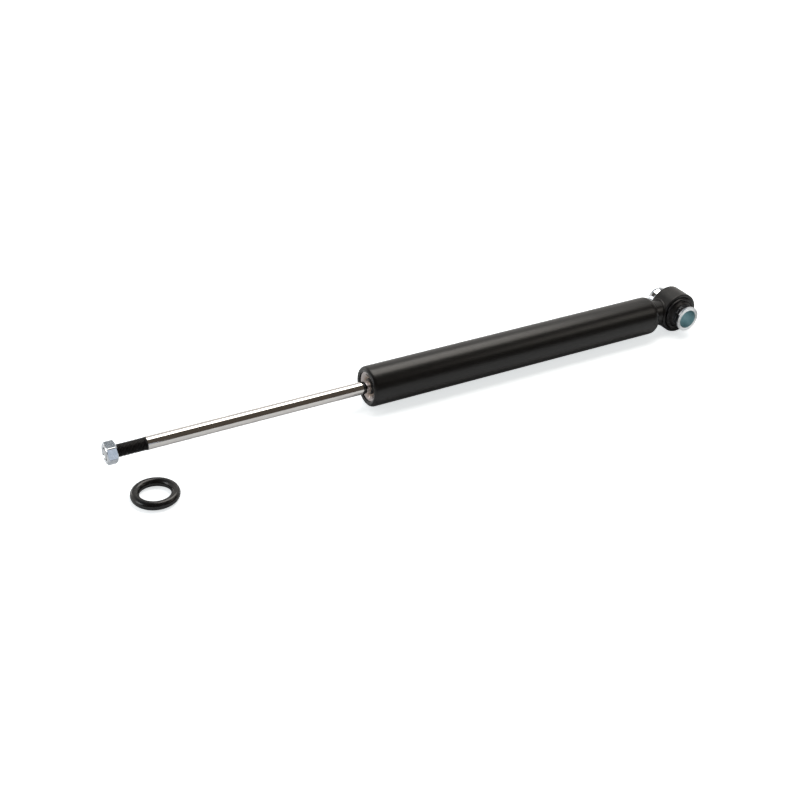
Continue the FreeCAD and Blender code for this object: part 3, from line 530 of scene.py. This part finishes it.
def cut_off(shell, place, outward):
    """Cut off what lies outward of a plane and close the cut; the faces that close it come back."""
    cut = bmesh.ops.bisect_plane(
        shell, geom=shell.verts[:] + shell.edges[:] + shell.faces[:],
        plane_co=place, plane_no=outward, clear_outer=True)
    rim = [part for part in cut["geom_cut"] if isinstance(part, bmesh.types.BMEdge)]
    return bmesh.ops.contextual_create(shell, geom=rim)["faces"]


stud_shell = bmesh.new()
thread_root = stud_radius - thread_depth
thread_tooth = [
    (0, thread_root),
    (pitch / 4, thread_root),
    (pitch * 9 / 16, stud_radius),
    (pitch * 11 / 16, stud_radius),
    (pitch, thread_root),
]
tooth_points = [stud_shell.verts.new((rod_end - pitch + along, 0, radius))
                for along, radius in thread_tooth]
for start, end in zip(tooth_points, tooth_points[1:]):
    stud_shell.edges.new((start, end))
bmesh.ops.spin(stud_shell, geom=stud_shell.verts[:] + stud_shell.edges[:], cent=(0, 0, 0),
               axis=ALONG_SHOCK, dvec=(pitch / steps_a_turn, 0, 0),
               angle=math.tau * thread_turns, steps=steps_a_turn * thread_turns)
bmesh.ops.remove_doubles(stud_shell, verts=stud_shell.verts, dist=thread_merge_distance)
cut_off(stud_shell, ALONG_SHOCK * rod_end, -ALONG_SHOCK)
for face in cut_off(stud_shell, ALONG_SHOCK * stud_end, ALONG_SHOCK):
    face.material_index = 1
bmesh.ops.recalc_face_normals(stud_shell, faces=stud_shell.faces)
for point in stud_shell.verts:
    allowed = stud_radius - max(0, point.co.x - (stud_end - stud_lead))
    radius = math.hypot(point.co.y, point.co.z)
    if radius > allowed:
        point.co.y *= allowed / radius
        point.co.z *= allowed / radius
stud = made("rod_stud_thread", stud_shell, black_oxide.material, bright_steel.material)
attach(stud, "rod")


# Stud nut: hexagon nut forged from steel and zinc-plated. Both faces are turned down at the corners,
# the six corners are worn round, and the hole is countersunk.

nut_low, nut_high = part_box("stud_nut")
nut_half_flats = 0.0095
half_side = math.radians(30)
nut_corner = nut_half_flats / math.cos(half_side)
nut_hole = 0.00605
countersink = 0.0005
nut_face = 0.0088
nut_shoulder = 0.0096
nut_blank = nut_corner + 0.0002
face_rounding = 0.0002
shoulder_rounding = 0.0003
shoulder_drop = 0.0008
blank_drop = 0.00138
nut_turn = math.radians(22)
corner_round = 0.0015
corner_cuts = 6
nut_cuts = 6 * corner_cuts
cut_step = math.tau / nut_cuts
worn_width = 0.00025

nut_shell = turned([
    (nut_low.x, nut_hole + countersink, 0),
    (nut_low.x, nut_face, face_rounding),
    (nut_low.x + shoulder_drop, nut_shoulder, shoulder_rounding),
    (nut_low.x + blank_drop, nut_blank, 0),
    (nut_high.x - blank_drop, nut_blank, 0),
    (nut_high.x - shoulder_drop, nut_shoulder, shoulder_rounding),
    (nut_high.x, nut_face, face_rounding),
    (nut_high.x, nut_hole + countersink, 0),
    (nut_high.x - countersink, nut_hole, 0),
    (nut_low.x + countersink, nut_hole, 0),
])
corner_centre = (nut_half_flats - corner_round) / math.cos(half_side)
for cut_number in range(nut_cuts):
    turn = nut_turn + cut_number * cut_step
    from_corner = half_side - cut_number % corner_cuts * cut_step
    outward = Vector((0, math.cos(turn), math.sin(turn)))
    reach = corner_centre * math.cos(from_corner) + corner_round
    cut_off(nut_shell, outward * reach, outward)
bmesh.ops.recalc_face_normals(nut_shell, faces=nut_shell.faces)
nut = made("stud_nut_zinc", nut_shell, zinc.material)
soft_edges = nut.modifiers.new("worn_edges", "BEVEL")
soft_edges.width = worn_width
soft_edges.segments = 3
soft_edges.limit_method = "ANGLE"
soft_edges.angle_limit = math.radians(20)
nut.modifiers.move(1, 0)
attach(nut, "nut")
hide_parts("stud_nut")


# Loose ring: black rubber ring of round section, moulded and slightly uneven, lying flat beside the
# stud.

loose_low, loose_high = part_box("rubber_ring")
loose_middle = (loose_low + loose_high) / 2
loose_section = (loose_high.z - loose_low.z) / 2
loose_radius = (loose_high.x - loose_low.x) / 2 - loose_section
ring_sides = 40
unevenness = 0.0001
lumps_round = 1.6
lumps_across = 60

ring_rubber = Finish("glossy_ring_rubber", Specular_IOR_Level=0.5)
ring_rubber.coloured(ring_rubber.cloud(220), (0.3, (0.0046, 0.0048, 0.0060)),
                     (0.7, (0.0080, 0.0080, 0.0096)))
ring_rubber.roughened(ring_rubber.cloud(380), 0.20, 0.28)
ring_rubber.bumped(ring_rubber.cloud(1800, detail=4), 0.00004, 0.4)

loose_shell = hoop(loose_section, ALONG_SHOCK * loose_radius, UP, ring_sides, TURNING_STEPS)
for point in loose_shell.verts:
    around = Vector((point.co.x, point.co.y, 0)).normalized()
    lump = noise.noise(around * lumps_round + UP * point.co.z * lumps_across)
    shrink = unevenness * (0.5 + 0.5 * lump)
    point.co -= (point.co - around * loose_radius).normalized() * shrink
bmesh.ops.translate(loose_shell, verts=loose_shell.verts, vec=loose_middle)
loose_ring = made("rubber_ring_loose", loose_shell, ring_rubber.material)
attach(loose_ring, "loose_ring")
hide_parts("rubber_ring")


# Inner pieces of steel, iron, bronze, plastic and rubber. They are inside the tube and keep the solids'
# own shapes; each gets its own finish.

def finished(material, *nodes):
    """Give a carried-over piece its material."""
    for name in nodes:
        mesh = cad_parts[name].data
        mesh.materials.clear()
        mesh.materials.append(material)


honed = Finish("honed_tube_steel", Metallic=1.0)
honed.coloured(honed.cloud(200), (0.3, (0.40, 0.39, 0.38)), (0.7, (0.52, 0.50, 0.48)))
honed.roughened(honed.cloud(900, place=honed.stretched(0.4, 4, 4)), 0.22, 0.34)
honed.bumped(honed.cloud(2200, place=honed.stretched(0.3, 2, 2)), 0.00002, 0.4)
finished(honed.material, "pressure_tube")

sintered = Finish("sintered_iron", Metallic=0.8)
sintered.coloured(sintered.cloud(1200), (0.3, (0.10, 0.10, 0.10)), (0.7, (0.22, 0.215, 0.21)))
sintered.roughened(sintered.cloud(1500), 0.45, 0.65)
sintered.bumped(sintered.cloud(3500, detail=6), 0.00006, 0.6)
finished(sintered.material, "rod_guide", "piston", "base_valve_body")

spring_steel = Finish("blued_spring_steel", Metallic=1.0)
spring_steel.coloured(spring_steel.cloud(500), (0.3, (0.30, 0.32, 0.36)), (0.7, (0.45, 0.46, 0.49)))
spring_steel.roughened(spring_steel.cloud(900), 0.2, 0.32)
finished(spring_steel.material, "garter_spring", "check_plate", "intake_plate", "compression_discs",
         "rebound_discs")

turned_steel = Finish("turned_steel", Metallic=1.0)
turned_steel.coloured(turned_steel.cloud(300), (0.3, (0.42, 0.41, 0.40)), (0.7, (0.58, 0.56, 0.54)))
turned_steel.roughened(turned_steel.cloud(1100, place=turned_steel.stretched(5, 1, 1)), 0.25, 0.4)
finished(turned_steel.material, "base_valve_pin", "stop_washer", "disc_washer", "piston_nut",
         "rebound_retainer")

bronze = Finish("lined_bronze", Metallic=1.0)
bronze.coloured(bronze.cloud(900), (0.3, (0.36, 0.22, 0.12)), (0.7, (0.50, 0.34, 0.20)))
bronze.roughened(bronze.cloud(1300), 0.3, 0.45)
finished(bronze.material, "guide_bush")

band_plastic = Finish("filled_sliding_plastic", Specular_IOR_Level=0.4)
band_plastic.coloured(band_plastic.cloud(1000), (0.3, (0.07, 0.055, 0.045)), (0.7, (0.12, 0.10, 0.085)))
band_plastic.roughened(band_plastic.cloud(1400), 0.4, 0.55)
finished(band_plastic.material, "piston_band")

finished(rubber.material, "rod_seal", "guide_o_ring", "rebound_bumper")


# Valve springs: small coils of spring steel that press the two one-way plates onto their seats.


def sprung(node, body):
    """Copy a spring's solid as a piece of its own, with a mesh of its own, and hang it on a body."""
    shell = bmesh.new()
    shell.from_mesh(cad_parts[node].data)
    bmesh.ops.remove_doubles(shell, verts=shell.verts, dist=MERGE_DISTANCE)
    bmesh.ops.recalc_face_normals(shell, faces=shell.faces)
    spring = made(node + "_coil", shell, spring_steel.material)
    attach(spring, body)
    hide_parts(node)
    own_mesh(spring)


sprung("check_spring", "rod")
sprung("intake_spring", "shock_body")


# Table: a white light table that the eye ring and the loose ring lie on. It runs on to the horizon and
# keeps the soft shadows of the two.

table_half = 6.0
table_height = ring_low.z
table_glow = 0.02
camera_glow = 0.68

table_shell = bmesh.new()
bmesh.ops.create_grid(table_shell, x_segments=2, y_segments=2, size=table_half,
                      matrix=Matrix.Translation(UP * table_height))
white_table = Finish("white_table", Specular_IOR_Level=0.2, Roughness=0.8)
white_table.shader.inputs["Base Color"].default_value = (0.88, 0.92, 0.96, 1)
white_table.shader.inputs["Emission Color"].default_value = (0.96, 0.99, 1.0, 1)
seen = white_table.nodes.new("ShaderNodeLightPath")
glow = white_table.nodes.new("ShaderNodeMath")
glow.operation = "MULTIPLY_ADD"
glow.inputs[1].default_value = camera_glow
glow.inputs[2].default_value = table_glow
white_table.links.new(seen.outputs["Is Camera Ray"], glow.inputs[0])
white_table.links.new(glow.outputs["Value"], white_table.shader.inputs["Emission Strength"])
table = made("table", table_shell, white_table.material)


# Studio: a white background, and for light and reflections a room with a pale wall behind the shock
# absorber, dark on the camera's side, so that the chrome shows a dark stripe between two light ones.

room_bright = (0.80, 0.77, 0.73)
room_dark = (0.085, 0.072, 0.058)
wall_top = (0.26, 0.28, 0.29)
wall_back = Vector((0, -0.97, -0.24))
wall_softness = 0.12
wall_top_from = 0.60
wall_top_to = 0.72

world = bpy.data.worlds.new("studio")
bpy.context.scene.world = world
world.use_nodes = True
room = world.node_tree
room_background = room.nodes["Background"]
room_place = room.nodes.new("ShaderNodeTexCoord")
side = room.nodes.new("ShaderNodeVectorMath")
side.operation = "DOT_PRODUCT"
side.inputs[1].default_value = wall_back
room.links.new(room_place.outputs["Generated"], side.inputs[0])
on_wall = room.nodes.new("ShaderNodeMapRange")
on_wall.interpolation_type = "SMOOTHSTEP"
on_wall.inputs["From Min"].default_value = -wall_softness
on_wall.inputs["From Max"].default_value = wall_softness
room.links.new(side.outputs["Value"], on_wall.inputs["Value"])
shades = room.nodes.new("ShaderNodeMix")
shades.data_type = "RGBA"
shades.inputs["A"].default_value = (*room_dark, 1)
room.links.new(on_wall.outputs["Result"], shades.inputs["Factor"])
height = room.nodes.new("ShaderNodeSeparateXYZ")
room.links.new(room_place.outputs["Generated"], height.inputs["Vector"])
up_wall = room.nodes.new("ShaderNodeMapRange")
up_wall.interpolation_type = "SMOOTHSTEP"
up_wall.inputs["From Min"].default_value = wall_top_from
up_wall.inputs["From Max"].default_value = wall_top_to
room.links.new(height.outputs["Z"], up_wall.inputs["Value"])
wall = room.nodes.new("ShaderNodeMix")
wall.data_type = "RGBA"
wall.inputs["A"].default_value = (*room_bright, 1)
wall.inputs["B"].default_value = (*wall_top, 1)
room.links.new(up_wall.outputs["Result"], wall.inputs["Factor"])
room.links.new(wall.outputs["Result"], shades.inputs["B"])
room_light = room.nodes.new("ShaderNodeLightPath")
backdrop = room.nodes.new("ShaderNodeMix")
backdrop.data_type = "RGBA"
backdrop.inputs["B"].default_value = (1, 1, 1, 1)
room.links.new(room_light.outputs["Is Camera Ray"], backdrop.inputs["Factor"])
room.links.new(shades.outputs["Result"], backdrop.inputs["A"])
room.links.new(backdrop.outputs["Result"], room_background.inputs["Color"])


def softbox(name, place, size, power, colour, towards=-UP):
    """A rectangular soft light, its size across and deep."""
    lamp = bpy.data.lights.new(name, "AREA")
    lamp.shape = "RECTANGLE"
    lamp.size, lamp.size_y = size
    lamp.energy = power
    lamp.color = colour
    light = bpy.data.objects.new(name, lamp)
    light.location = place
    light.rotation_euler = towards.to_track_quat("-Z", "Y").to_euler()
    bpy.context.collection.objects.link(light)


softbox("overhead_softbox", (-0.125, -0.375, 1.2), (1.15, 0.91), 13.3, (1, 0.95, 0.89))
softbox("ceiling_light", (-1.20, 1.05, 1.2), (0.9, 0.9), 4.2, (1, 0.94, 0.86))
softbox("side_card", (2.0, -0.15, 0.72), (0.8, 0.8), 6.0, (0.93, 0.96, 1), -ALONG_SHOCK)
softbox("back_card", (0.90, -1.08, 0.20), (0.6, 0.36), 1.2, (1, 0.97, 0.94), ALONG_BORE)
softbox("low_card", (0.30, 1.44, 0.23), (0.18, 0.36), 0.15, (0.76, 0.86, 1), -ALONG_BORE)


# Camera: stands beside the stud and looks down along the shock absorber, a little rolled, as in the
# photograph.

camera = bpy.data.objects.new("camera", bpy.data.cameras.new("camera"))
camera.data.lens = 57.28
camera.data.sensor_width = 36.0
camera_roll = math.radians(2.37)
looking = Vector((-0.42763, -0.73233, -0.52992))
camera.location = (0.8666, 0.9108, 0.6341)
camera.rotation_euler = (looking.to_track_quat("-Z", "Y").to_matrix()
                         @ Matrix.Rotation(camera_roll, 3, "Z")).to_euler()
bpy.context.collection.objects.link(camera)
bpy.context.scene.camera = camera
bpy.context.scene.view_settings.view_transform = "Standard"
